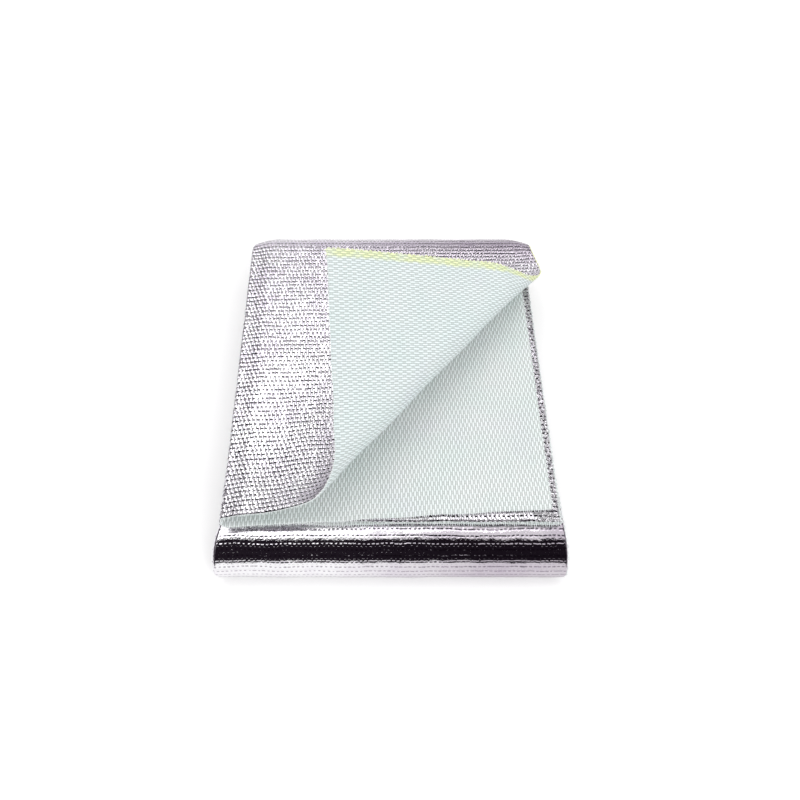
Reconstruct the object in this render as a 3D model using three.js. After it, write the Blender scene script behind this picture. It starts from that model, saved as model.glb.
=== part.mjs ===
// Aluminized heat shield mat: one sheet of woven glass cloth with an aluminium face, folded in half
// lengthwise, then folded to and fro into four double panels, its top front right corner turned back.
// Millimetres, +Z up, the floor at z = 0, the open front edge toward -Y.
import * as THREE from "three";

// Sheet. Leg A is the upper and leg B the lower of the two layers that the lengthwise fold joins.
const SHEET_T = 2.0;        // cloth and aluminium face together
const LEG_GAP_TOP = 5.4;    // between the mid-surfaces of the two legs, top panel
const LEG_GAP_LOW = 4.8;    // the same, lower panels

// Side edges of the stack in plan, before it is centred
const X_FOLD = -125;        // lengthwise fold
const X_A = 123.8;          // right edge of leg A at the middle of the top panel
const X_A_BACK = 115.5;     // the same at the back fold
const A_DRAW_Y = 55;        // where leg A's edge starts to draw in toward the back fold
const A_DRAW_RUN = 45;      // length over which it draws in
const X_A_FLARE = 3.8;      // how far leg A's edge slants outward at its front corner
const FLARE_Y = 60;         // where that slant starts
const FLARE_RUN = 200;      // length of the slant
const X_B_FRONT = 113.5;    // right edge of leg B, front
const X_B_BACK = 104.7;     // the same, back
const X_LOW_FRONT = 121;    // right edge of the lower panels, front
const X_LOW_BACK = 113;     // the same, back
const LOW_TAPER_Y = -150;   // where the lower panels start to narrow
const LOW_TAPER_RUN = 240;  // length over which they narrow
const LOW_B_FRONT = 1.5;    // how far leg B of the lower panels stays inside leg A, front
const LOW_B_BACK = 1;       // the same, back
const NOSE_LEFT = 8.5;      // how far the front fold swells past the left fold
const NOSE_RIGHT = 4;       // the same on the right

// Front and back ends in plan
const Y_A_LEFT = -150;      // front cut edge of leg A, left
const Y_A_RIGHT = -139.2;   // the same, right
const Y_B_LEFT = -154;      // front cut edge of leg B, left
const Y_B_RIGHT = -140;     // the same, right
const Y_BACK = 94;          // back end of the top panel
const BACK_REACH = 17;      // depth of the outer back fold
const INNER_INSET = 3;      // the inner back fold starts this far short of the outer one
const Y_P4_FRONT = -149;    // front cut ends of the inner panel
const Y_NOSE_TOP = -150;    // front end of the third panel, at the top of the front fold
const Y_NOSE = -179;        // foremost point of the strip's middle in the front fold
const NOSE_R = 7;           // radius of the front fold at the floor

// Heights of the strip's middle
const Z1 = 43;              // top panel
const Z4_FRONT = 34.7;      // inner panel, front
const Z4_BACK = 32.6;       // inner panel, back
const Z3_FRONT = 26.6;      // third panel, front
const Z3_BACK = 16.2;       // third panel, back
const Z2 = 3.4;             // bottom panel

// Turned corner: straight lines of the cloth all run to one point, the apex, round which it bends
const APEX_X = 296.2;
const APEX_Y = 267.7;
const RAY0 = 219.75 * Math.PI / 180;  // direction from the apex of the line where the rise starts
const RISE_SPAN = 0.1426;   // slow rise, radians seen from the apex
const RISE_K = 2.222;       // its bend, radians for each radian
const TURN_SPAN = 0.1043;   // the tight turn after it, radians
const TURN_K = 21.68;       // its bend
const BLEND_K = 0.006;      // softness of the ends of both, radians
const PINCH = 0.7;          // share by which the roll is pressed down at the right edge
const PINCH_R = 321;        // distance from the apex at which the pressing starts
const PINCH_RUN = 60;       // length over which it grows to its full share
const PROFILE_SPAN = 0.9;   // radians over which the bend is stepped
const PROFILE_STEPS = 400;

// Ends of the back fold
const BACK_ROUND = 9;       // how far its two ends draw in
const ROUND_RUN = 20;       // width of each end that does

// Stations along the strip run 0 to 7, one whole number for each panel or fold:
// 0-1 top panel, 1-2 outer back fold, 2-3 bottom panel, 3-4 front fold, 4-5 third panel,
// 5-6 inner back fold, 6-7 inner panel
const LAST_STATION = 7;
const NOSE_LOW_SHARE = 0.25; // share of the front fold's station on its turn at the floor
const SWELL = [2.9, 3.45, 4.4];         // stations where the front fold's swelling starts, peaks, ends
const ROUND = [0.95, 2.05];             // stations between which the back fold's ends draw in
const CORNER_FADE = 0.5;    // stations past 1 over which the turned corner's lift fades out

// Facets: steps across leg A, the lengthwise fold and leg B, and along each station
const FINE_ACROSS = [36, 8, 4];
const COARSE_ACROSS = [5, 8, 4];
const STEPS_ALONG = [36, 12, 5, 14, 4, 9, 4];

const cross = (a, b) => [
  a[1] * b[2] - a[2] * b[1],
  a[2] * b[0] - a[0] * b[2],
  a[0] * b[1] - a[1] * b[0],
];
const dot = (a, b) => a[0] * b[0] + a[1] * b[1] + a[2] * b[2];
const add = (a, b, k = 1) => [a[0] + b[0] * k, a[1] + b[1] * k, a[2] + b[2] * k];
const scale = (a, k) => [a[0] * k, a[1] * k, a[2] * k];
const unit = (a) => scale(a, 1 / Math.hypot(...a));
const mix = (a, b, k) => a + (b - a) * k;
const clamp = (k) => Math.min(1, Math.max(0, k));
const smooth = (k) => clamp(k) ** 2 * (3 - 2 * clamp(k));

// A vector turned about a unit axis
function spin(v, axis, angle) {
  const c = Math.cos(angle);
  const swept = add(scale(v, c), cross(axis, v), Math.sin(angle));
  return add(swept, axis, dot(axis, v) * (1 - c));
}

// The bend as a curve on the unit sphere round the apex, stepped by its bend
function bendProfile() {
  const start = [Math.cos(RAY0), Math.sin(RAY0), 0];
  const side = [-start[1], start[0], 0];
  const step = PROFILE_SPAN / PROFILE_STEPS;
  const onset = (x) => 1 / (1 + Math.exp(-Math.max(-50, Math.min(50, x / BLEND_K))));
  const ray = [start];
  const along = [side];
  let frame = [start, side, [0, 0, 1]];
  for (let i = 0; i < PROFILE_STEPS; i++) {
    const a = (i + 0.5) * step;
    const rise = RISE_K * onset(a) * onset(RISE_SPAN - a);
    const turn = TURN_K * onset(a - RISE_SPAN) * onset(RISE_SPAN + TURN_SPAN - a);
    const rate = Math.hypot(1, rise + turn);
    const axis = scale(add(frame[2], frame[0], rise + turn), 1 / rate);
    frame = frame.map((v) => spin(v, axis, rate * step));
    ray.push(frame[0]);
    along.push(frame[1]);
  }
  return { start, side, ray, along, step };
}
const BEND = bendProfile();

// How far the flat plan point (x, y) of leg A moves when the corner is turned
function turned(x, y) {
  const dx = x - APEX_X;
  const dy = y - APEX_Y;
  const r = Math.hypot(dx, dy);
  const a = Math.atan2(
    dx * BEND.side[0] + dy * BEND.side[1],
    dx * BEND.start[0] + dy * BEND.start[1],
  );
  if (a <= 0) return [0, 0, 0];
  let ray;
  if (a < PROFILE_SPAN) {
    const at = Math.min(PROFILE_STEPS - 1e-6, a / BEND.step);
    const i = Math.floor(at);
    ray = add(scale(BEND.ray[i], 1 - at + i), BEND.ray[i + 1], at - i);
  } else {
    const past = a - PROFILE_SPAN;
    ray = add(scale(BEND.ray[PROFILE_STEPS], Math.cos(past)), BEND.along[PROFILE_STEPS], Math.sin(past));
  }
  const pressed = 1 - PINCH * smooth((PINCH_R - r) / PINCH_RUN);
  return [APEX_X + r * ray[0] - x, APEX_Y + r * ray[1] - y, r * ray[2] * pressed];
}

// The front fold's middle: a small turn at the floor, then a long one up to the third panel
function noseMiddle(k) {
  if (k < NOSE_LOW_SHARE) {
    const f = Math.PI / 2 * k / NOSE_LOW_SHARE;
    return [Y_NOSE + NOSE_R - NOSE_R * Math.sin(f), Z2 + NOSE_R * (1 - Math.cos(f))];
  }
  const f = Math.PI / 2 * (k - NOSE_LOW_SHARE) / (1 - NOSE_LOW_SHARE);
  const rise = Z3_FRONT - Z2 - NOSE_R;
  return [Y_NOSE_TOP + (Y_NOSE - Y_NOSE_TOP) * Math.cos(f), Z2 + NOSE_R + rise * Math.sin(f)];
}

// Half an ellipse from one height to another at the back of the stack
function backMiddle(k, y, reach, zFrom, zTo) {
  const f = Math.PI * k;
  return [y + reach * Math.sin(f), (zFrom + zTo) / 2 + (zFrom - zTo) / 2 * Math.cos(f)];
}

// The strip's middle line through the stack, as y and z at station q
function middle(q) {
  const seg = Math.min(LAST_STATION - 1, Math.floor(q));
  const k = q - seg;
  const yInner = Y_BACK - INNER_INSET;
  if (seg === 0) return [mix(Y_A_LEFT, Y_BACK, k), Z1];
  if (seg === 1) return backMiddle(k, Y_BACK, BACK_REACH, Z1, Z2);
  if (seg === 2) return [mix(Y_BACK, Y_NOSE + NOSE_R, k), Z2];
  if (seg === 3) return noseMiddle(k);
  if (seg === 4) return [mix(Y_NOSE_TOP, yInner, k), mix(Z3_FRONT, Z3_BACK, smooth(k))];
  if (seg === 5) return backMiddle(k, yInner, (Z4_BACK - Z3_BACK) / 2, Z3_BACK, Z4_BACK);
  return [mix(yInner, Y_P4_FRONT, k), mix(Z4_BACK, Z4_FRONT, smooth(k))];
}

function middleNormal(q) {
  const e = 1e-4;
  const a = middle(Math.max(0, q - e));
  const b = middle(Math.min(LAST_STATION, q + e));
  const along = [b[0] - a[0], b[1] - a[1]];
  const length = Math.hypot(...along);
  return [-along[1] / length, along[0] / length];
}

// How much of the front fold's swelling station q has
function swelling(q) {
  const [from, peak, to] = SWELL;
  if (q <= from || q >= to) return 0;
  const k = q < peak ? (q - from) / (peak - from) : (to - q) / (to - peak);
  return Math.sin(Math.PI * smooth(k) / 2);
}

// Left fold, right edge of leg A and right edge of leg B at station q
function widths(q) {
  const [y] = middle(q);
  const back = clamp((y - LOW_TAPER_Y) / LOW_TAPER_RUN);
  const swell = swelling(q);
  const low = [
    X_FOLD - NOSE_LEFT * swell,
    mix(X_LOW_FRONT, X_LOW_BACK, back) + NOSE_RIGHT * swell,
    mix(X_LOW_FRONT - LOW_B_FRONT, X_LOW_BACK - LOW_B_BACK, back) + NOSE_RIGHT * swell,
  ];
  if (q <= 1) {
    const a = mix(X_A, X_A_BACK, smooth((y - A_DRAW_Y) / A_DRAW_RUN));
    const flare = X_A_FLARE * smooth((FLARE_Y - y) / FLARE_RUN);
    return [X_FOLD, a + flare, mix(X_B_FRONT, X_B_BACK, (y - Y_A_LEFT) / (Y_BACK - Y_A_LEFT))];
  }
  if (q >= 2) return low;
  const k = smooth(q - 1);
  return [X_FOLD, mix(X_A_BACK, low[1], k), mix(X_B_BACK, low[2], k)];
}

// Front cut edge of the top panel, at p across the sheet
function frontEdge(p) {
  if (p <= 1) return mix(Y_A_RIGHT, Y_A_LEFT, p);
  if (p < 2) return mix(Y_A_LEFT, Y_B_LEFT, smooth(p - 1));
  return mix(Y_B_LEFT, Y_B_RIGHT, p - 2);
}

// How far the back fold draws in at x, near either of its ends
function drawnIn(x, xLeft, xRight, q) {
  const ends = clamp(1 - (x - xLeft) / ROUND_RUN) ** 2 + clamp(1 - (xRight - x) / ROUND_RUN) ** 2;
  return BACK_ROUND * ends * Math.max(0, Math.sin(Math.PI * (q - ROUND[0]) / (ROUND[1] - ROUND[0])));
}

// The turned corner's move of a point, faded out down the back fold and round the lengthwise fold
function cornerMove(p, q, x, y, n) {
  const part = p <= 1 ? 1 : smooth(2 - p);
  const move = scale(turned(x, q <= 1 ? y : Y_BACK), part);
  if (q <= 1) return move;
  const lift = move[2] * (1 - smooth((q - 1) / CORNER_FADE));
  return [0, lift * n[0], lift * n[1]];
}

// A point of the sheet's mid-surface: p runs 0 to 1 over leg A from its right edge to the fold,
// 1 to 2 round the fold, and 2 to 3 over leg B to its right edge
function point(p, q) {
  const [xl, xa, xb] = widths(q);
  const half = mix(LEG_GAP_TOP, LEG_GAP_LOW, smooth(q - 1)) / 2;
  const n = middleNormal(q);
  const round = Math.PI * (clamp(p - 1));
  const start = xl + half;
  let x = start - half * Math.sin(round);
  if (p <= 1) x = mix(xa, start, p);
  if (p >= 2) x = mix(start, xb, p - 2);
  const out = half * Math.cos(round);
  const [yMiddle, z] = middle(q);
  const y = q < 1 ? mix(frontEdge(p), Y_BACK, q) : yMiddle;
  const at = [x, y + out * n[0], z + out * n[1]];
  if (q > ROUND[0] && q < ROUND[1]) at[1] -= drawnIn(x, xl, Math.max(xa, xb), q);
  if (q >= 1 + CORNER_FADE || p >= 2) return at;
  return add(at, cornerMove(p, q, p <= 1 ? x : start, at[1], n));
}

function normalAt(p, q) {
  const e = 1e-3;
  const across = add(point(Math.min(3, p + e), q), point(Math.max(0, p - e), q), -1);
  const along = add(point(p, Math.min(LAST_STATION, q + e)), point(p, Math.max(0, q - e)), -1);
  return unit(cross(along, across));
}

// Values from whole number to whole number, each stretch in its own number of equal steps
function steps(counts) {
  const values = counts.flatMap((n, k) => Array.from({ length: n }, (_, i) => mix(k, k + 1, i / n)));
  return [...values, counts.length];
}

// The two skins of the sheet, as rows of vertex pairs. The top panel's rows are fine across.
function sheetRows(verts) {
  const fine = steps(FINE_ACROSS);
  const coarse = steps(COARSE_ACROSS);
  return steps(STEPS_ALONG).map((q) => (q <= 1 ? fine : coarse).map((p) => {
    const at = point(p, q);
    const n = normalAt(p, q);
    verts.push(add(at, n, SHEET_T / 2), add(at, n, -SHEET_T / 2));
    return { p, outer: verts.length - 2, inner: verts.length - 1 };
  }));
}

// Triangles between two rows, which may have different numbers of points across
function zip(tri, A, B) {
  const both = (a, b, c) => tri.push([a.outer, b.outer, c.outer], [a.inner, c.inner, b.inner]);
  let i = 0;
  let j = 0;
  while (i < A.length - 1 || j < B.length - 1) {
    const nextA = i < A.length - 1 ? A[i + 1].p : Infinity;
    const nextB = j < B.length - 1 ? B[j + 1].p : Infinity;
    if (Math.abs(nextA - nextB) < 1e-9) {
      both(A[i], B[j], B[j + 1]);
      both(A[i], B[j + 1], A[i + 1]);
      i++;
      j++;
    } else if (nextA < nextB) {
      both(A[i], B[j], A[i + 1]);
      i++;
    } else {
      both(A[i], B[j], B[j + 1]);
      j++;
    }
  }
}

// Cut edges all round, between the two skins
function walls(tri, rows) {
  const wall = (a, b) => tri.push([a.outer, b.outer, b.inner], [a.outer, b.inner, a.inner]);
  const first = rows[0];
  const last = rows[rows.length - 1];
  for (let i = 0; i + 1 < first.length; i++) wall(first[i], first[i + 1]);
  for (let i = 0; i + 1 < last.length; i++) wall(last[i + 1], last[i]);
  for (let r = 0; r + 1 < rows.length; r++) {
    wall(rows[r + 1][0], rows[r][0]);
    wall(rows[r][rows[r].length - 1], rows[r + 1][rows[r + 1].length - 1]);
  }
}

// Floor at z = 0, plan centred on the origin
function placed(verts) {
  const low = [0, 1, 2].map((k) => verts.reduce((m, v) => Math.min(m, v[k]), Infinity));
  const high = [0, 1, 2].map((k) => verts.reduce((m, v) => Math.max(m, v[k]), -Infinity));
  const shift = [-(low[0] + high[0]) / 2, -(low[1] + high[1]) / 2, -low[2]];
  return verts.map((v) => add(v, shift));
}

function sheetGeometry() {
  const verts = [];
  const tri = [];
  const rows = sheetRows(verts);
  for (let r = 0; r + 1 < rows.length; r++) zip(tri, rows[r], rows[r + 1]);
  walls(tri, rows);
  const at = placed(verts);
  const volume = tri.reduce((sum, [a, b, c]) => sum + dot(at[a], cross(at[b], at[c])) / 6, 0);
  const outward = tri.map(([a, b, c]) => (volume > 0 ? [a, b, c] : [a, c, b]));
  const geometry = new THREE.BufferGeometry();
  geometry.setAttribute("position", new THREE.BufferAttribute(new Float32Array(at.flat()), 3));
  geometry.setIndex(outward.flat());
  geometry.computeVertexNormals();
  return geometry;
}

const mat = new THREE.Mesh(
  sheetGeometry(),
  new THREE.MeshStandardMaterial({ color: 0xe4eae8, roughness: 0.85, metalness: 0.0 }),
);
mat.name = "mat_sheet";

const group = new THREE.Group();
group.name = "aluminized_heat_shield_mat";
group.add(mat);
export default group;
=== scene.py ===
import math

import bpy
import numpy as np
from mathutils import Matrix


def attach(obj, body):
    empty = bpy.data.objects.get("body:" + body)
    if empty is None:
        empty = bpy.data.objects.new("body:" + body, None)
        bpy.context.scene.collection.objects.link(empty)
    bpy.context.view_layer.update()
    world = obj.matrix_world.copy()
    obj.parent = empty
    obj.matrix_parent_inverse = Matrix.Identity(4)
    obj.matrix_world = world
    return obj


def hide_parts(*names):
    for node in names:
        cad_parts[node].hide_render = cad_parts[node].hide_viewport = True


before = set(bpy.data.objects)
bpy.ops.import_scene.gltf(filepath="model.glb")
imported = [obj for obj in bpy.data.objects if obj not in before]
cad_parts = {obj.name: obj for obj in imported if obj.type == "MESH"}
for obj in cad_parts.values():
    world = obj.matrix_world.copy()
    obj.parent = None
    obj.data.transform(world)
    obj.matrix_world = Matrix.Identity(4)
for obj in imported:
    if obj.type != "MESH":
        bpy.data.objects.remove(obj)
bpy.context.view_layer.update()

# Camera, read from the perspective of the photograph
PHOTO_SIDE = 800.0
FOCAL_PX = 713.3
SENSOR = 36.0
CAMERA_AT = (0.00665, -0.2710, 0.5383)
CAMERA_TILT = math.radians(27.0)
cam_data = bpy.data.cameras.new("camera")
cam = bpy.data.objects.new("camera", cam_data)
bpy.context.scene.collection.objects.link(cam)
cam.location = CAMERA_AT
cam.rotation_euler = (CAMERA_TILT, 0.0, 0.0)
cam_data.sensor_width = SENSOR
cam_data.lens = SENSOR * FOCAL_PX / PHOTO_SIDE
cam_data.clip_start = 0.01
cam_data.clip_end = 50.0
bpy.context.scene.camera = cam

# Sheet and folded stack in millimetres, as in the solid part
SHEET_T = 2.0
LEG_GAP_TOP = 5.4
LEG_GAP_LOW = 4.8
X_FOLD = -125.0
X_A = 123.8
X_A_BACK = 115.5
X_A_FLARE = 3.8
A_DRAW_Y = 55.0
A_DRAW_RUN = 45.0
FLARE_Y = 60.0
FLARE_RUN = 200.0
X_B_FRONT = 113.5
X_B_BACK = 104.7
X_LOW_FRONT = 121.0
X_LOW_BACK = 113.0
LOW_TAPER_Y = -150.0
LOW_TAPER_RUN = 240.0
LOW_B_FRONT = 1.5
LOW_B_BACK = 1.0
NOSE_LEFT = 8.5
NOSE_RIGHT = 4.0
Y_A_LEFT = -150.0
Y_A_RIGHT = -139.2
Y_B_LEFT = -154.0
Y_B_RIGHT = -140.0
Y_BACK = 94.0
BACK_REACH = 17.0
INNER_INSET = 3.0
Y_P4_FRONT = -149.0
Y_NOSE_TOP = -150.0
Y_NOSE = -179.0
NOSE_R = 7.0
Z1 = 43.0
Z4_FRONT = 34.7
Z4_BACK = 32.6
Z3_FRONT = 26.6
Z3_BACK = 16.2
Z2 = 3.4
SWELL = (2.9, 3.45, 4.4)
BACK_ROUND = 9.0
ROUND_RUN = 20.0
ROUND = (0.95, 2.05)
PLAN_SHIFT = (-3.750, -33.981)

# Turned corner: apex in mm, angles in radians, curvatures for a unit sphere
APEX_X = 296.2
APEX_Y = 267.7
RAY0 = math.radians(219.75)
RISE_SPAN = 0.1426
RISE_K = 2.222
TURN_SPAN = 0.1043
TURN_K = 21.68
BLEND_K = 0.006
PINCH_R = 321.0
PINCH_RUN = 60.0
PINCH = 0.7
PROFILE_STEPS = 400
PROFILE_SPAN = 0.9
CORNER_FADE = 0.5

# Sheet parameters: p is 0 to 1 on leg A, to 2 round the fold and to 3 on leg B, and q counts the stretches
P_END = 3.0
Q_END = 7.0
NOSE_CORNER = 0.25
NOSE_Q = (3.1, 3.95)
CROWN_END = (0.9, 0.3)
TOP_END = (0.92, 0.16)

# Grid steps: leg A, the fold, leg B, then each of the seven stretches
STEPS_ACROSS = (110, 17, 60)
STEPS_ALONG = (104, 26, 20, 46, 16, 12, 16)

# Flat sheet in millimetres: weave pitches, and the length of each stretch across and along
WARP = 1.63
WEFT = 3.7
LEG_A_FLAT = 247.0
LEG_B_FLAT = 236.0
FOLD_FLAT = np.pi * LEG_GAP_TOP / 2
STATION_MM = (244.0, 58.0, 266.0, 48.0, 242.0, 26.0, 241.0)
STATION_START = np.concatenate([[0], np.cumsum(STATION_MM)])
NOSE_V = (568.0, 616.0)
SHEET_WIDE = 0.485

# Softness of the cloth in millimetres, finer than the solid part
EDGE_ROUND = 1.3
EDGE_THIN = 0.3
EDGE_BAND = 2.5
EDGE_LINES = np.array([0.0, 0.08, 0.3, 0.7, 1.3])
RIM_U = 1000 * SHEET_WIDE + 6.5
FOLD_DROP = 1.4
CROWN = 0.9
CROWN_RUN = 15.0
CRUMPLE_U = 473.0
CRUMPLE_RUN = 6.0

# Waves of the cloth and its cuts: height in mm, seed, wavelength in mm
FRONT_CUT = ((0.9, 3, 46), (0.35, 4, 7))
INNER_CUT = ((1.6, 5, 60), (0.4, 6, 8))
BROAD = (1.0, 11, 60)
SMALL = (0.12, 12, 14)
CRUMPLE = (1.5, 21, 7)
BROAD_LOW = 0.28
BROAD_TOP = 0.75
BROAD_NOSE = 1.6

# Loose thread: radii and reaches in mm
END_RADII = np.array([0.45, 0.42, 0.34, 0.2])
END_ROOT = 0.9
LOOP_RADIUS = 0.42
LOOP_ROOT = 0.5
LOOP_HALF = 1.35
END_STEP = 0.004
SEEDS = (31, 32, 33, 34)

# Places of the finish and of the painted light and shade on the flat sheet, in mm: each fades in from the
# first value to the second
YELLOW_U = (6.6, 4.2)
YELLOW_V = (300.0, 285.0)
# Turned-back corner, painted a cooler tint of light
FLAP_U = (250.0, 240.0)
FLAP_V = (300.0, 280.0)
STRIP_U = (470.0, 477.0)
STRIP_V = (870.0, 885.0)
# Back-right corner, more dented and painted darker shade
BACK_V = (215.0, 245.0)
BACK_U = (170.0, 60.0)
# Back fold, painted a lilac-grey reflection
LILAC_REFLECTION_IN = (120.0, 250.0)
LILAC_REFLECTION_OUT = (330.0, 300.0)
NOSE_IN = (NOSE_V[0] - 6, NOSE_V[0] + 4)
NOSE_OUT = (NOSE_V[1] + 8, NOSE_V[1] - 2)

# Material slots of the sheet
CLOTH = 0
FOIL = 1
RIM = 2


def mix(a, b, k):
    """a + (b - a) k."""
    return a + (b - a) * k


def smooth(k):
    """3c^2 - 2c^3 with c = k held to 0..1."""
    c = np.clip(k, 0.0, 1.0)
    return c * c * (3 - 2 * c)


def bend_profile():
    """Unit-speed curve on a sphere round the apex: d' = t, t' = -d + k n, n' = -k t.

    k is the slow rise and then the tight turn, and each step is a rotation."""
    start = np.array([math.cos(RAY0), math.sin(RAY0), 0.0])
    side = np.array([-start[1], start[0], 0.0])
    step = PROFILE_SPAN / PROFILE_STEPS

    def onset(x):
        """1 / (1 + e^(-x / BLEND_K))."""
        return 1 / (1 + math.exp(-max(-50.0, min(50.0, x / BLEND_K))))

    frame_now = [start, side, np.array([0.0, 0.0, 1.0])]
    rays = [start]
    alongs = [side]
    for i in range(PROFILE_STEPS):
        a = (i + 0.5) * step
        k = RISE_K * onset(a) * onset(RISE_SPAN - a)
        k += TURN_K * onset(a - RISE_SPAN) * onset(RISE_SPAN + TURN_SPAN - a)
        rate = math.hypot(1, k)
        c = math.cos(rate * step)
        s = math.sin(rate * step)
        axis = (k * frame_now[0] + frame_now[2]) / rate
        frame_now = [v * c + np.cross(axis, v) * s + axis * (axis @ v) * (1 - c) for v in frame_now]
        rays.append(frame_now[0])
        alongs.append(frame_now[1])
    return start, side, np.array(rays), np.array(alongs), step


BEND = bend_profile()


def turned(x, y):
    """Shift of the flat plan point (x, y): its ray from the apex turns to d(a), as long as before."""
    start, side, rays, alongs, step = BEND
    dx = x - APEX_X
    dy = y - APEX_Y
    r = np.hypot(dx, dy)
    a = np.arctan2(dx * side[0] + dy * side[1], dx * start[0] + dy * start[1])
    at = np.clip(a / step, 0, PROFILE_STEPS - 1e-6)
    i = at.astype(int)
    f = (at - i)[..., None]
    ray = rays[i] * (1 - f) + rays[i + 1] * f
    past = (a - PROFILE_SPAN)[..., None]
    ray = np.where(past > 0, np.cos(past) * rays[-1] + np.sin(past) * alongs[-1], ray)
    out = r[..., None] * ray + np.array([APEX_X, APEX_Y, 0.0]) - np.stack([x, y, 0 * x], -1)
    out[..., 2] *= 1 - PINCH * smooth((PINCH_R - r) / PINCH_RUN)
    return np.where((a > 0)[..., None], out, 0.0)


def stretch(q):
    """Number of the stretch along the sheet, from 0 to 6: q without its fraction."""
    return np.minimum(Q_END - 1, np.floor(q)).astype(int)


def middle(q):
    """Middle line (y, z) of the doubled strip at station q.

    Straight panels, half-ellipse back folds, and a front fold of a quarter circle and a quarter ellipse."""
    q = np.clip(q, 0.0, Q_END)
    seg = stretch(q)
    k = q - seg
    half_outer = (Z1 - Z2) / 2
    half_inner = (Z4_BACK - Z3_BACK) / 2
    f = np.pi * k
    fa = np.pi / 2 * np.clip(k / NOSE_CORNER, 0, 1)
    fb = np.pi / 2 * np.clip((k - NOSE_CORNER) / (1 - NOSE_CORNER), 0, 1)
    y_inner = Y_BACK - INNER_INSET
    low = k < NOSE_CORNER
    y_low = Y_NOSE + NOSE_R - NOSE_R * np.sin(fa)
    y_high = Y_NOSE_TOP + (Y_NOSE - Y_NOSE_TOP) * np.cos(fb)
    z_low = Z2 + NOSE_R * (1 - np.cos(fa))
    z_high = Z2 + NOSE_R + (Z3_FRONT - Z2 - NOSE_R) * np.sin(fb)
    ys = [mix(Y_A_LEFT, Y_BACK, k), Y_BACK + BACK_REACH * np.sin(f), mix(Y_BACK, Y_NOSE + NOSE_R, k),
          np.where(low, y_low, y_high), mix(Y_NOSE_TOP, y_inner, k), y_inner + half_inner * np.sin(f),
          mix(y_inner, Y_P4_FRONT, k)]
    zs = [Z1 + 0 * k, (Z1 + Z2) / 2 + half_outer * np.cos(f), Z2 + 0 * k, np.where(low, z_low, z_high),
          mix(Z3_FRONT, Z3_BACK, smooth(k)), (Z3_BACK + Z4_BACK) / 2 - half_inner * np.cos(f),
          mix(Z4_BACK, Z4_FRONT, smooth(k))]
    return np.choose(seg, ys), np.choose(seg, zs)


def middle_normal(q):
    """Unit normal of the middle line by central difference, to the side of leg A."""
    e = 1e-4
    ya, za = middle(np.maximum(0, q - e))
    yb, zb = middle(np.minimum(Q_END, q + e))
    length = np.hypot(yb - ya, zb - za)
    return -(zb - za) / length, (yb - ya) / length


def widths(q):
    """x of the lengthwise fold and of the two legs' right edges.

    They are linear tapers, and the front fold is swelled by the sine of an eased ramp up and down."""
    y = middle(q)[0]
    back = np.clip((y - LOW_TAPER_Y) / LOW_TAPER_RUN, 0, 1)
    start, peak, end = SWELL
    k = np.where(q < peak, (q - start) / (peak - start), (end - q) / (end - peak))
    swell = np.sin(np.pi * smooth(k) / 2)
    low_left = X_FOLD - NOSE_LEFT * swell
    low_a = mix(X_LOW_FRONT, X_LOW_BACK, back) + NOSE_RIGHT * swell
    low_b = mix(X_LOW_FRONT - LOW_B_FRONT, X_LOW_BACK - LOW_B_BACK, back) + NOSE_RIGHT * swell
    top_a = mix(X_A, X_A_BACK, smooth((y - A_DRAW_Y) / A_DRAW_RUN))
    top_a = top_a + X_A_FLARE * smooth((FLARE_Y - y) / FLARE_RUN)
    top_b = mix(X_B_FRONT, X_B_BACK, (y - Y_A_LEFT) / (Y_BACK - Y_A_LEFT))
    down = smooth(q - 1)
    where = [q <= 1, q < 2]
    return (np.select(where, [X_FOLD + 0 * q, X_FOLD + 0 * q], low_left),
            np.select(where, [top_a, mix(X_A_BACK, low_a, down)], low_a),
            np.select(where, [top_b, mix(X_B_BACK, low_b, down)], low_b))


def ripple(u, v, seed, size):
    """Soft unevenness: a sum of six sines of random direction and wavelength about size mm, from -1 to 1."""
    draw = np.random.default_rng(seed)
    out = 0 * u
    for _ in range(6):
        heading = draw.uniform(0, np.pi)
        wave = size * draw.uniform(0.6, 1.8)
        phase = draw.uniform(0, 6.28)
        out = out + np.sin((u * np.cos(heading) + v * np.sin(heading)) * 2 * np.pi / wave + phase)
    return out / 6


def waves(u, v, wave):
    """One wave's height times its ripple."""
    height, seed, size = wave
    return height * ripple(u, v, seed, size)


def flat_uv(p, q):
    """Flat sheet coordinates in millimetres: across from the selvedge, along from the loose front edge."""
    u = np.select([p <= 1, p < 2], [p * LEG_A_FLAT, LEG_A_FLAT + (p - 1) * FOLD_FLAT],
                  LEG_A_FLAT + FOLD_FLAT + (p - 2) * LEG_B_FLAT)
    seg = stretch(q)
    return u, STATION_START[seg] + (q - seg) * np.array(STATION_MM)[seg]


def cut_front(p, u):
    """Front cut edge of the top panel in y, with the uneven line of a cut made by hand."""
    leg_a = mix(Y_A_RIGHT, Y_A_LEFT, np.minimum(1, p))
    fold = mix(Y_A_LEFT, Y_B_LEFT, smooth(p - 1))
    y = np.select([p <= 1, p < 2], [leg_a, fold], mix(Y_B_LEFT, Y_B_RIGHT, p - 2))
    return y + waves(u, 0 * u, FRONT_CUT[0]) + waves(u, 0 * u, FRONT_CUT[1])


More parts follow.
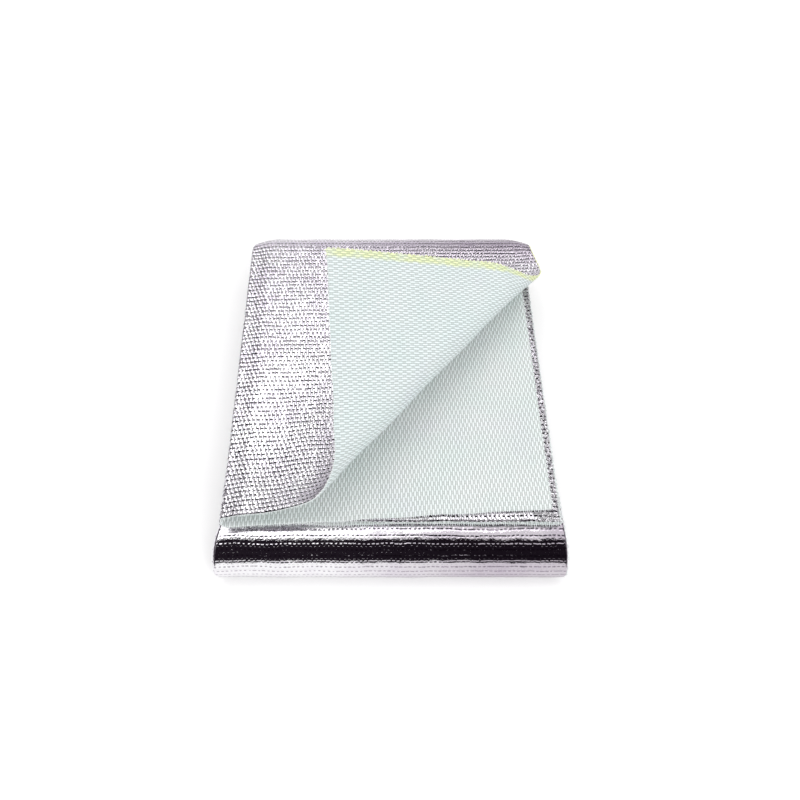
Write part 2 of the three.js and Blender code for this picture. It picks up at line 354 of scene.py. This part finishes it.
def point(p, q):
    """Mid-surface of the sheet: leg A, the fold and leg B, carried along the middle line.

    Leg A is crowned past the fold, its corner is turned back, and the back fold's ends draw in."""
    xl, xa, xb = widths(q)
    half = mix(LEG_GAP_TOP, LEG_GAP_LOW, smooth(q - 1)) / 2
    ny, nz = middle_normal(q)
    y, z = middle(q)
    f = np.pi * (p - 1)
    x = np.select([p <= 1, p < 2], [mix(xa, xl + half, p), xl + half - half * np.sin(f)],
                  mix(xl + half, xb, p - 2))
    top = 1 - smooth((q - CROWN_END[0]) / CROWN_END[1])
    past = smooth((x - xl - half) / CROWN_RUN)
    crowned = half + top * mix(-FOLD_DROP, CROWN, past)
    arc = np.cos(f) * np.where(np.cos(f) > 0, half - FOLD_DROP * top, half)
    w = np.select([p <= 1, p < 2], [crowned, arc], -half)
    u, v = flat_uv(p, q)
    inner_cut = waves(u, 0 * v, INNER_CUT[0]) + waves(u, 0 * v, INNER_CUT[1])
    y = np.where(q < 1, mix(cut_front(p, u), Y_BACK, q), y - np.maximum(0, q - Q_END + 1) * inner_cut)
    at = np.stack([x, y + w * ny, z + w * nz], -1)
    ends = np.clip(1 - (x - xl) / ROUND_RUN, 0, 1) ** 2
    ends = ends + np.clip(1 - (np.maximum(xa, xb) - x) / ROUND_RUN, 0, 1) ** 2
    drawn = np.maximum(0, np.sin(np.pi * np.clip((q - ROUND[0]) / (ROUND[1] - ROUND[0]), 0, 1)))
    at[..., 1] -= BACK_ROUND * ends * drawn
    part = np.where(p <= 1, 1, smooth(2 - p)) * (p < 2)
    fade = 1 - smooth((q - 1) / CORNER_FADE)
    move = turned(np.where(p <= 1, x, xl + half), np.where(q <= 1, at[..., 1], Y_BACK)) * part[..., None]
    lift = np.stack([0 * x, move[..., 2] * fade * ny, move[..., 2] * fade * nz], -1)
    return at + np.where((q <= 1)[..., None], move, lift)


def surface(p, q):
    """Mid-surface with its soft unevenness along the normal, and the normal, by central difference."""
    e = 1e-3
    across = point(np.minimum(P_END, p + e), q) - point(np.maximum(0, p - e), q)
    along = point(p, np.minimum(Q_END, q + e)) - point(p, np.maximum(0, q - e))
    n = np.cross(along, across)
    n /= np.linalg.norm(n, axis=-1, keepdims=True)
    u, v = flat_uv(p, q)
    top = 1 - smooth((q - TOP_END[0]) / TOP_END[1])
    nose = (q > NOSE_Q[0]) & (q < NOSE_Q[1])
    amount = mix(BROAD_LOW, BROAD_TOP, top * (p < 1)) * np.where(nose, BROAD_NOSE, 1.0)
    off = amount * waves(u, v, BROAD) + waves(u, v, SMALL)
    # The inner panel's right edge is crumpled where it shows
    off = off + waves(u, v, CRUMPLE) * smooth((u - CRUMPLE_U) / CRUMPLE_RUN) * (q > Q_END - 1)
    return point(p, q) + n * off[..., None], n


def grid_lines():
    """Values of p and q, closer together next to the four edges of the sheet so that they can be rounded."""
    near = EDGE_LINES
    a = np.linspace(EDGE_BAND / LEG_A_FLAT, 1, STEPS_ACROSS[0])[:-1]
    a = np.concatenate([near / LEG_A_FLAT, a])
    b = np.linspace(2, P_END - EDGE_BAND / LEG_B_FLAT, STEPS_ACROSS[2])
    b = np.concatenate([b, P_END - near[::-1] / LEG_B_FLAT])
    ps = np.concatenate([a, np.linspace(1, 2, STEPS_ACROSS[1])[:-1], b])
    front = STATION_MM[0]
    inner = STATION_MM[-1]
    first = np.linspace(EDGE_BAND / front, 1, STEPS_ALONG[0])[:-1]
    first = np.concatenate([near / front, first])
    last = np.linspace(Q_END - 1, Q_END - EDGE_BAND / inner, STEPS_ALONG[-1])
    last = np.concatenate([last, Q_END - near[::-1] / inner])
    mids = [s + 1 + np.linspace(0, 1, n + 1)[:-1] for s, n in enumerate(STEPS_ALONG[1:-1])]
    return ps, np.concatenate([first] + mids + [last])


def thickness(u, v):
    """Half thickness: full inside, falling as a quarter circle over the last EDGE_ROUND at each cut edge."""
    d = np.minimum(np.minimum(u, RIM_U - u), np.minimum(v, STATION_START[-1] - v))
    c = 1 - np.clip(d / EDGE_ROUND, 0, 1)
    return SHEET_T / 2 * np.maximum(EDGE_THIN, np.sqrt(np.maximum(0, 1 - c * c)))


def placed(points):
    """Millimetres in the fit's frame to metres in the part's frame, none below the floor."""
    at = (points - np.array([*PLAN_SHIFT, 0.0])) / 1000.0
    at[..., 2] = np.maximum(at[..., 2], 0.0)
    return at


def mesh_object(name, verts, faces, kinds, uv):
    """Mesh object at the origin, with a material index for each face and the UV map named flat."""
    mesh = bpy.data.meshes.new(name)
    mesh.from_pydata(verts.tolist(), [], faces)
    mesh.polygons.foreach_set("material_index", kinds)
    mesh.polygons.foreach_set("use_smooth", np.array(kinds != RIM, dtype=bool))
    layer = mesh.uv_layers.new(name="flat")
    loops = np.empty(len(mesh.loops), dtype=np.int32)
    mesh.loops.foreach_get("vertex_index", loops)
    layer.data.foreach_set("uv", uv[loops].astype(np.float32).ravel())
    mesh.update()
    obj = bpy.data.objects.new(name, mesh)
    bpy.context.scene.collection.objects.link(obj)
    return obj


def sheet_mesh(name):
    """A closed slab on the grid of p and q: foil side half a thickness out, cloth side in, and four rims."""
    ps, qs = grid_lines()
    p, q = np.meshgrid(ps, qs)
    mid, n = surface(p, q)
    u, v = flat_uv(p, q)
    rows, cols = p.shape
    half = thickness(u, v)[..., None]
    verts = placed(np.concatenate([(mid + n * half).reshape(-1, 3), (mid - n * half).reshape(-1, 3)]))
    m = rows * cols
    idx = np.arange(m).reshape(rows, cols)
    a = idx[:-1, :-1]
    b = idx[:-1, 1:]
    c = idx[1:, 1:]
    d = idx[1:, :-1]
    foil = np.stack([a, d, c, b], -1).reshape(-1, 4)
    cloth = np.stack([a, b, c, d], -1).reshape(-1, 4) + m
    rims = []
    for line, flip in ((idx[0], False), (idx[-1], True), (idx[:, 0], True), (idx[:, -1], False)):
        s = line[:-1]
        t = line[1:]
        quad = np.stack([s, t, t + m, s + m], -1)
        rims.append(quad[:, ::-1] if flip else quad)
    rim = np.concatenate(rims)
    faces = np.concatenate([foil, cloth, rim])
    kinds = np.repeat([FOIL, CLOTH, RIM], [len(foil), len(cloth), len(rim)]).astype(np.int32)
    x = verts[faces]
    fans = np.cross(x[:, 1], x[:, 2]) + np.cross(x[:, 2], x[:, 3])
    if np.einsum("ij,ij->i", x[:, 0], fans).sum() < 0:
        faces = faces[:, ::-1]
    uv = np.concatenate([np.stack([u, v], -1).reshape(-1, 2)] * 2) / 1000.0
    return mesh_object(name, verts, faces.tolist(), kinds, uv)


def tubes(paths, radii, sides=5):
    """Capped tubes along N paths of R points: circles of the given radii in the plane across each path."""
    t = np.gradient(paths, axis=1)
    t /= np.linalg.norm(t, axis=-1, keepdims=True)
    side = np.cross(t, np.array([0.13, 0.21, 0.97]))
    side /= np.linalg.norm(side, axis=-1, keepdims=True)
    over = np.cross(side, t)
    f = np.arange(sides) * 2 * np.pi / sides
    ring = side[:, :, None] * np.cos(f)[:, None] + over[:, :, None] * np.sin(f)[:, None]
    verts = paths[:, :, None] + ring * radii[:, :, None, None]
    count, rings = paths.shape[:2]
    idx = np.arange(count * rings * sides).reshape(count, rings, sides)
    nxt = np.roll(idx, -1, axis=2)
    walls = np.stack([idx[:, :-1], nxt[:, :-1], nxt[:, 1:], idx[:, 1:]], -1).reshape(-1, 4)
    caps = [idx[:, 0, ::-1], idx[:, -1, :]]
    return verts.reshape(-1, 3), walls, caps


def cut_ends(q_edge, step, seed):
    """Warp threads' cut ends along a front edge: short tubes that leave the cloth and bend a little aside."""
    draw = np.random.default_rng(seed)
    starts = np.array([0, LEG_A_FLAT, LEG_A_FLAT + FOLD_FLAT, LEG_A_FLAT + FOLD_FLAT + LEG_B_FLAT])
    u = np.arange(WARP / 2, starts[-1] - 1, WARP)
    p = np.interp(u, starts, [0, 1, 2, P_END])
    q = np.full_like(p, q_edge)
    base, n = surface(p, q)
    inside, _ = surface(p, q + step)
    out = base - inside
    out /= np.linalg.norm(out, axis=-1, keepdims=True)
    aside = np.cross(out, n)
    s = np.linspace(0, 1, 4)[None, :, None]
    length = draw.uniform(0.5, 1.9, (len(p), 1, 1))
    sway = draw.uniform(-0.7, 0.7, (len(p), 1, 1))
    dip = draw.uniform(-0.5, 0.35, (len(p), 1, 1))
    path = base[:, None] + out[:, None] * (-END_ROOT + s * (END_ROOT + length))
    path = path + aside[:, None] * sway * s * s
    path = path + n[:, None] * dip * s * s
    radius = np.repeat(END_RADII[None], len(p), axis=0)
    uv = np.stack([u, flat_uv(p, q)[1]], -1)
    return path, radius, uv


def selvedge_loops(p_edge, seed):
    """Weft threads' turns along a selvedge: half ellipses that stand out between one row and the next."""
    draw = np.random.default_rng(seed)
    v = np.arange(WEFT / 2, STATION_START[-1] - WEFT / 2, WEFT)
    f = np.linspace(0, np.pi, 6)
    reach = draw.uniform(0.35, 1.0, (len(v), 1))
    along = v[:, None] - LOOP_HALF * np.cos(f)[None]
    q = np.interp(along, STATION_START, np.arange(Q_END + 1))
    p = np.full_like(q, p_edge)
    base, n = surface(p, q)
    inside, _ = surface(p + (0.01 if p_edge == 0 else -0.01), q)
    out = base - inside
    out /= np.linalg.norm(out, axis=-1, keepdims=True)
    path = base + out * (-LOOP_ROOT + (LOOP_ROOT + reach) * np.sin(f)[None])[..., None]
    radius = np.full(path.shape[:2], LOOP_RADIUS)
    u = 0.0 if p_edge == 0 else 1000 * SHEET_WIDE
    return path, radius, np.stack([np.full_like(v, u), v], -1)


def thread_mesh(name):
    """All loose thread ends and selvedge loops as one mesh."""
    sets = [cut_ends(0.0, END_STEP, SEEDS[0]), cut_ends(Q_END, -END_STEP, SEEDS[1])]
    sets += [selvedge_loops(0.0, SEEDS[2]), selvedge_loops(P_END, SEEDS[3])]
    verts = []
    faces = []
    uvs = []
    start = 0
    for path, radius, uv in sets:
        v, walls, caps = tubes(path, radius)
        verts.append(v)
        for part in (walls, *caps):
            faces += (part + start).tolist()
        uvs.append(np.repeat(uv, len(v) // len(uv), axis=0))
        start += len(v)
    kinds = np.zeros(len(faces), dtype=np.int32)
    return mesh_object(name, placed(np.concatenate(verts)), faces, kinds, np.concatenate(uvs) / 1000.0)


# Shader helpers
def nodes_of(owner):
    """The owner's node tree, emptied."""
    owner.use_nodes = True
    owner.node_tree.nodes.clear()
    return owner.node_tree


def add(tree, kind, **values):
    """A new node with the given settings."""
    node = tree.nodes.new(kind)
    for key, value in values.items():
        setattr(node, key, value)
    return node


def put(tree, socket, value):
    """A link from another socket, or a plain value."""
    if isinstance(value, bpy.types.NodeSocket):
        tree.links.new(value, socket)
    else:
        socket.default_value = value


def math_node(tree, op, a, b=0.0, c=0.0):
    """One math operation on up to three values."""
    node = add(tree, "ShaderNodeMath", operation=op)
    for socket, value in zip(node.inputs, (a, b, c)):
        put(tree, socket, value)
    return node.outputs[0]


def total(tree, *terms):
    """Sum of all terms."""
    out = terms[0]
    for term in terms[1:]:
        out = math_node(tree, "ADD", out, term)
    return out


def product(tree, *factors):
    """Product of all factors."""
    out = factors[0]
    for factor in factors[1:]:
        out = math_node(tree, "MULTIPLY", out, factor)
    return out


def noise(tree, vector, scale, detail=2.0, rough=0.5):
    """Soft noise from 0 to 1, scale in cycles per unit."""
    node = add(tree, "ShaderNodeTexNoise")
    put(tree, node.inputs["Vector"], vector)
    node.inputs["Scale"].default_value = scale
    node.inputs["Detail"].default_value = detail
    node.inputs["Roughness"].default_value = rough
    return node.outputs["Fac"]


def remap(tree, value, a, b, c=0.0, d=1.0):
    """Straight line from c at a to d at b, held outside them."""
    node = add(tree, "ShaderNodeMapRange")
    for i, v in enumerate((value, a, b, c, d)):
        put(tree, node.inputs[i], v)
    return node.outputs[0]


def ramp(tree, fac, stops):
    """Colour by value, straight between the stops."""
    node = add(tree, "ShaderNodeValToRGB")
    tree.links.new(fac, node.inputs[0])
    elements = node.color_ramp.elements
    while len(elements) < len(stops):
        elements.new(0.5)
    for element, (position, colour) in zip(elements, stops):
        element.position = position
        element.color = (*colour, 1.0)
    return node.outputs[0]


def blend(tree, kind, fac, a, b):
    """Colour a blended with colour b by the factor."""
    node = add(tree, "ShaderNodeMix", data_type="RGBA", blend_type=kind)
    put(tree, node.inputs[0], fac)
    for socket, value in ((node.inputs[6], a), (node.inputs[7], b)):
        put(tree, socket, value if isinstance(value, bpy.types.NodeSocket) else (*value, 1.0))
    return node.outputs[2]


def round_section(tree, f):
    """sqrt(1 - 3.7 f^2): a thread's round back across its own pitch, f from -0.5 to 0.5."""
    square = product(tree, f, f, 3.7)
    return math_node(tree, "SQRT", math_node(tree, "MAXIMUM", math_node(tree, "SUBTRACT", 1.0, square), 0.0))


def half_wave(tree, x, sign):
    """0.5 + sign 0.5 cos(pi x): one thread's rise and dive over two pitches of the other."""
    wave = math_node(tree, "COSINE", product(tree, x, math.pi))
    return total(tree, product(tree, wave, 0.5 * sign), 0.5)


def weave_group():
    """Plain weave from the flat coordinates in metres.

    Height is the larger of the warp, round across and half a cosine along, and the lower weft the other way.
    Rib is the weft rows' round backs alone, Row is 1 on the line between two rows, Gap is 1 where a warp
    thread dives there, and Chance is a random value for each crossing."""
    g = bpy.data.node_groups.new("weave", "ShaderNodeTree")
    g.interface.new_socket("Flat", in_out="INPUT", socket_type="NodeSocketVector")
    for name in ("Height", "Rib", "Row", "Gap", "Chance"):
        g.interface.new_socket(name, in_out="OUTPUT", socket_type="NodeSocketFloat")
    gi = g.nodes.new("NodeGroupInput")
    go = g.nodes.new("NodeGroupOutput")
    mm = add(g, "ShaderNodeVectorMath", operation="SCALE")
    g.links.new(gi.outputs["Flat"], mm.inputs[0])
    mm.inputs["Scale"].default_value = 1000.0
    sep = add(g, "ShaderNodeSeparateXYZ")
    g.links.new(mm.outputs[0], sep.inputs[0])
    drift = math_node(g, "SUBTRACT", noise(g, mm.outputs[0], 0.05, 3.0), 0.5)
    jitter = math_node(g, "SUBTRACT", noise(g, mm.outputs[0], 0.45, 2.0), 0.5)
    u_mm = total(g, sep.outputs[0], product(g, drift, 1.2), product(g, jitter, 0.3))
    v_mm = total(g, sep.outputs[1], product(g, drift, 2.4), product(g, jitter, 0.9))
    u = math_node(g, "DIVIDE", u_mm, WARP)
    v = math_node(g, "DIVIDE", v_mm, WEFT)
    iu = math_node(g, "FLOOR", u)
    iv = math_node(g, "FLOOR", v)
    fu = math_node(g, "SUBTRACT", math_node(g, "FRACT", u), 0.5)
    fv = math_node(g, "SUBTRACT", math_node(g, "FRACT", v), 0.5)
    across = round_section(g, fu)
    rib = round_section(g, fv)
    rise = half_wave(g, total(g, v, -0.5, iu), 1.0)
    cross_rise = half_wave(g, total(g, u, -0.5, iv), -1.0)
    warp = product(g, across, math_node(g, "POWER", rise, 0.6))
    weft = product(g, rib, cross_rise, 0.45)
    g.links.new(math_node(g, "SMOOTH_MAX", warp, weft, 0.15), go.inputs["Height"])
    g.links.new(rib, go.inputs["Rib"])
    g.links.new(remap(g, product(g, math_node(g, "ABSOLUTE", fv), 2.0), 0.62, 0.95), go.inputs["Row"])
    row_up = math_node(g, "FLOOR", total(g, v, 0.5))
    g.links.new(half_wave(g, total(g, u, row_up), 1.0), go.inputs["Gap"])
    cell = add(g, "ShaderNodeCombineXYZ")
    g.links.new(math_node(g, "FLOOR", product(g, u, 0.5)), cell.inputs[0])
    g.links.new(row_up, cell.inputs[1])
    white = add(g, "ShaderNodeTexWhiteNoise", noise_dimensions="2D")
    g.links.new(cell.outputs[0], white.inputs["Vector"])
    g.links.new(white.outputs["Value"], go.inputs["Chance"])
    return g


WEAVE = weave_group()


def material(name):
    """A new material with its shader, the weave, and the flat coordinates in millimetres."""
    m = bpy.data.materials.new(name)
    tree = nodes_of(m)
    out = add(tree, "ShaderNodeOutputMaterial")
    bsdf = add(tree, "ShaderNodeBsdfPrincipled")
    tree.links.new(bsdf.outputs[0], out.inputs[0])
    uv = add(tree, "ShaderNodeUVMap", uv_map="flat")
    weave = add(tree, "ShaderNodeGroup")
    weave.node_tree = WEAVE
    tree.links.new(uv.outputs[0], weave.inputs[0])
    mm = add(tree, "ShaderNodeVectorMath", operation="SCALE")
    tree.links.new(uv.outputs[0], mm.inputs[0])
    mm.inputs["Scale"].default_value = 1000.0
    sep = add(tree, "ShaderNodeSeparateXYZ")
    tree.links.new(mm.outputs[0], sep.inputs[0])
    return m, tree, bsdf, weave, mm.outputs[0], sep.outputs


def bump_height(tree, bsdf, height, distance):
    """Relief of the given depth in metres for height 1."""
    bump = add(tree, "ShaderNodeBump")
    bump.inputs["Strength"].default_value = 1.0
    bump.inputs["Distance"].default_value = distance
    tree.links.new(height, bump.inputs["Height"])
    tree.links.new(bump.outputs[0], bsdf.inputs["Normal"])


def yellow_band(tree, mm, flat, tone):
    """Lemon tracer threads along the top panel's selvedge, patchy and a few threads wide."""
    wander = math_node(tree, "SUBTRACT", noise(tree, mm, 0.16, 3.0), 0.5)
    edge = total(tree, flat[0], product(tree, wander, 4.5))
    patchy = remap(tree, noise(tree, mm, 0.09, 3.0), 0.35, 0.55, 0.45, 1.0)
    band = product(tree, remap(tree, edge, *YELLOW_U), remap(tree, flat[1], *YELLOW_V), patchy, 0.9)
    return blend(tree, "MIX", band, tone, blend(tree, "MULTIPLY", 1.0, tone, (1.06, 1.05, 0.60)))


def cloth_material():
    """White glass cloth: bright thread backs with painted grey-green shade down in the hollows between
    threads, a painted cooler tint of light on the turned-back corner, faint mint and lilac drifts.
    """
    m, tree, bsdf, weave, mm, flat = material("glass_cloth")
    crevice_shade = (0.17, 0.185, 0.17)
    low = (0.50, 0.53, 0.515)
    high = (0.86, 0.905, 0.90)
    crown = (0.94, 0.975, 0.975)
    # Painted shade: the colour darkens with the weave's height, from white thread backs to near black between
    # threads
    tone = ramp(tree, weave.outputs["Height"], [(0.0, crevice_shade), (0.28, low), (0.58, high), (1.0, crown)])
    mint = remap(tree, noise(tree, mm, 0.03, 3.0), 0.38, 0.68)
    tone = blend(tree, "MULTIPLY", mint, tone, (0.95, 0.985, 0.975))
    # Painted light: the turned-back corner gets a cooler tint, on the same cloth
    flap_cool_light = product(tree, remap(tree, flat[0], *FLAP_U), remap(tree, flat[1], *FLAP_V))
    tone = blend(tree, "MULTIPLY", flap_cool_light, tone, (0.965, 1.0, 1.01))
    lilac = remap(tree, noise(tree, mm, 0.022, 2.0), 0.55, 0.75)
    tone = blend(tree, "MULTIPLY", lilac, tone, (0.99, 0.97, 1.0))
    tree.links.new(yellow_band(tree, mm, flat, tone), bsdf.inputs["Base Color"])
    bsdf.inputs["Roughness"].default_value = 0.8
    bsdf.inputs["Specular IOR Level"].default_value = 0.35
    bump_height(tree, bsdf, weave.outputs["Height"], 0.00065)
    return m


def foil_material():
    """Bright face: the weft rows' ribs, uneven from crossing to crossing, with fine dents and soft creases.

    On the front fold the foil is drawn tight, so its relief is low, its gloss high and its painted dark pits
    faint."""
    m, tree, bsdf, weave, mm, flat = material("aluminium_face")
    fine = noise(tree, mm, 0.8, 3.0, 0.6)
    crease = noise(tree, mm, 0.09, 4.0, 0.6)
    broken = noise(tree, mm, 0.3, 3.0, 0.6)
    nose_in = remap(tree, flat[1], *NOSE_IN)
    nose_out = remap(tree, flat[1], *NOSE_OUT)
    tight = product(tree, nose_in, nose_out)
    strip = product(tree, remap(tree, flat[0], *STRIP_U), remap(tree, flat[1], *STRIP_V))
    corner = product(tree, remap(tree, flat[1], *BACK_V), remap(tree, flat[0], *BACK_U))
    uneven = total(tree, weave.outputs["Gap"], broken, product(tree, weave.outputs["Chance"], 0.7))
    dip = remap(tree, total(tree, uneven, product(tree, corner, 0.35)), 0.98, 1.6, 0.05, 1.0)
    pit = product(tree, weave.outputs["Row"], dip)
    relief = remap(tree, tight, 0.0, 1.0, 1.0, 0.07)
    rows = product(tree, total(tree, product(tree, weave.outputs["Rib"], dip, 0.62),
                               product(tree, weave.outputs["Height"], 0.3)), relief)
    dents = total(tree, product(tree, fine, remap(tree, tight, 0.0, 1.0, 0.45, 0.08)),
                  product(tree, crease, remap(tree, tight, 0.0, 1.0, 1.6, 0.8)),
                  product(tree, noise(tree, mm, 0.22, 3.0, 0.6), strip, 7.0))
    height = total(tree, rows, dents, product(tree, pit, remap(tree, tight, 0.0, 1.0, -0.45, -0.17)))
    bump_height(tree, bsdf, height, 0.0005)
    # Painted reflection: the pits between rows are coloured grey to near black, as the dark room mirrored in
    # the dips
    shade = product(tree, pit, remap(tree, tight, 0.0, 1.0, 1.0, 0.35))
    bright = (0.95, 0.94, 0.96)
    dull = (0.62, 0.59, 0.64)
    dark = (0.025, 0.02, 0.028)
    tone = ramp(tree, shade, [(0.0, bright), (0.25, dull), (0.6, dark)])
    # Lilac drifts at random, and a painted lilac-grey reflection of the room's back over the back fold
    lilac = total(tree, remap(tree, noise(tree, mm, 0.02, 4.0, 0.65), 0.42, 0.66, 0.0, 0.8),
                  product(tree, remap(tree, flat[1], *LILAC_REFLECTION_IN), remap(tree, flat[1], *LILAC_REFLECTION_OUT), 0.5))
    tone = blend(tree, "MULTIPLY", math_node(tree, "MINIMUM", lilac, 1.0), tone, (0.88, 0.84, 0.90))
    # Painted shade: the back-right corner is coloured darker
    tone = blend(tree, "MULTIPLY", corner, tone, (0.66, 0.62, 0.66))
    tree.links.new(tone, bsdf.inputs["Base Color"])
    bsdf.inputs["Metallic"].default_value = 1.0
    tree.links.new(remap(tree, tight, 0.0, 1.0, 0.12, 0.06), bsdf.inputs["Roughness"])
    return m


def thread_material():
    """Cut ends, selvedge loops and the sheet's rim: the same glass thread, without the weave."""
    m, tree, bsdf, weave, mm, flat = material("loose_thread")
    tone = ramp(tree, noise(tree, mm, 0.9, 3.0), [(0.3, (0.62, 0.65, 0.64)), (0.6, (0.90, 0.94, 0.94))])
    tree.links.new(yellow_band(tree, mm, flat, tone), bsdf.inputs["Base Color"])
    bsdf.inputs["Roughness"].default_value = 0.85
    return m


threads = thread_material()
mat = sheet_mesh("mat_visual")
for finish in (cloth_material(), foil_material(), threads):
    mat.data.materials.append(finish)
edge_threads = thread_mesh("edge_threads")
edge_threads.data.materials.append(threads)
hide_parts("mat_sheet")
for piece in (mat, edge_threads):
    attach(piece, "root")


FLOOR_HALF = 3.0
FLOOR_GLOW = 0.16


def floor():
    """A pale square at z = 0, which glows a little for the camera alone to show white round the shadow."""
    side = FLOOR_HALF
    corners = [(-side, -side, 0), (side, -side, 0), (side, side, 0), (-side, side, 0)]
    mesh = bpy.data.meshes.new("floor")
    mesh.from_pydata(corners, [], [(0, 1, 2, 3)])
    obj = bpy.data.objects.new("floor", mesh)
    bpy.context.scene.collection.objects.link(obj)
    m = bpy.data.materials.new("floor")
    tree = nodes_of(m)
    out = add(tree, "ShaderNodeOutputMaterial")
    bsdf = add(tree, "ShaderNodeBsdfPrincipled")
    bsdf.inputs["Base Color"].default_value = (0.93, 0.93, 0.93, 1.0)
    bsdf.inputs["Roughness"].default_value = 0.9
    bsdf.inputs["Emission Color"].default_value = (1.0, 1.0, 1.0, 1.0)
    path = add(tree, "ShaderNodeLightPath")
    tree.links.new(product(tree, path.outputs["Is Camera Ray"], FLOOR_GLOW), bsdf.inputs["Emission Strength"])
    tree.links.new(bsdf.outputs[0], out.inputs[0])
    mesh.materials.append(m)
    return obj


floor()


def area_light(name, at, to, size, power):
    """A rectangular lamp at one point that faces another."""
    data = bpy.data.lights.new(name, "AREA")
    data.shape = "RECTANGLE"
    data.size, data.size_y = size
    data.energy = power
    obj = bpy.data.objects.new(name, data)
    bpy.context.scene.collection.objects.link(obj)
    obj.location = at
    d = np.array(to) - np.array(at)
    d = d / np.linalg.norm(d)
    obj.rotation_euler = (math.acos(-d[2]), 0.0, math.atan2(d[0], -d[1]) + math.pi)
    return obj


area_light("softbox_top", (-0.25, 0.55, 1.5), (0.0, 0.0, 0.0), (1.6, 1.1), 7.5)
key = area_light("key_front_right", (0.75, -0.85, 1.25), (0.0, 0.0, 0.05), (0.9, 0.9), 8.0)
key.visible_glossy = False


def studio_world():
    """Even soft light, and for the foil a room to mirror: bright overhead and behind, a dark band in front
    where the camera stands, dim at both sides and pale lilac low at the back."""
    w = bpy.data.worlds.new("studio")
    bpy.context.scene.world = w
    tree = nodes_of(w)
    out = add(tree, "ShaderNodeOutputWorld")
    bg = add(tree, "ShaderNodeBackground")
    tree.links.new(bg.outputs[0], out.inputs[0])
    co = add(tree, "ShaderNodeTexCoord")
    sep = add(tree, "ShaderNodeSeparateXYZ")
    tree.links.new(co.outputs["Generated"], sep.inputs[0])
    x, y, z = sep.outputs
    aside = math_node(tree, "ABSOLUTE", x)
    band = product(tree, remap(tree, y, -0.03, -0.08), remap(tree, y, -0.85, -0.80),
                   remap(tree, aside, 0.62, 0.50), remap(tree, z, 0.40, 0.46))
    dim = product(tree, remap(tree, aside, 0.33, 0.48), remap(tree, z, 0.86, 0.70),
                  remap(tree, z, 0.05, 0.25))
    back = product(tree, remap(tree, y, 0.55, 0.85), remap(tree, z, 0.6, 0.3))
    room = blend(tree, "MIX", back, (1.0, 1.0, 1.0), (0.70, 0.68, 0.73))
    room = blend(tree, "MIX", dim, room, (0.07, 0.06, 0.075))
    room = blend(tree, "MIX", band, room, (0.012, 0.008, 0.013))
    path = add(tree, "ShaderNodeLightPath")
    light = blend(tree, "MIX", path.outputs["Is Glossy Ray"], (0.725, 0.72, 0.725), room)
    light = blend(tree, "MIX", path.outputs["Is Camera Ray"], light, (1.0, 1.0, 1.0))
    tree.links.new(light, bg.inputs[0])
    bg.inputs[1].default_value = 1.0


studio_world()
bpy.context.scene.view_settings.view_transform = "Standard"
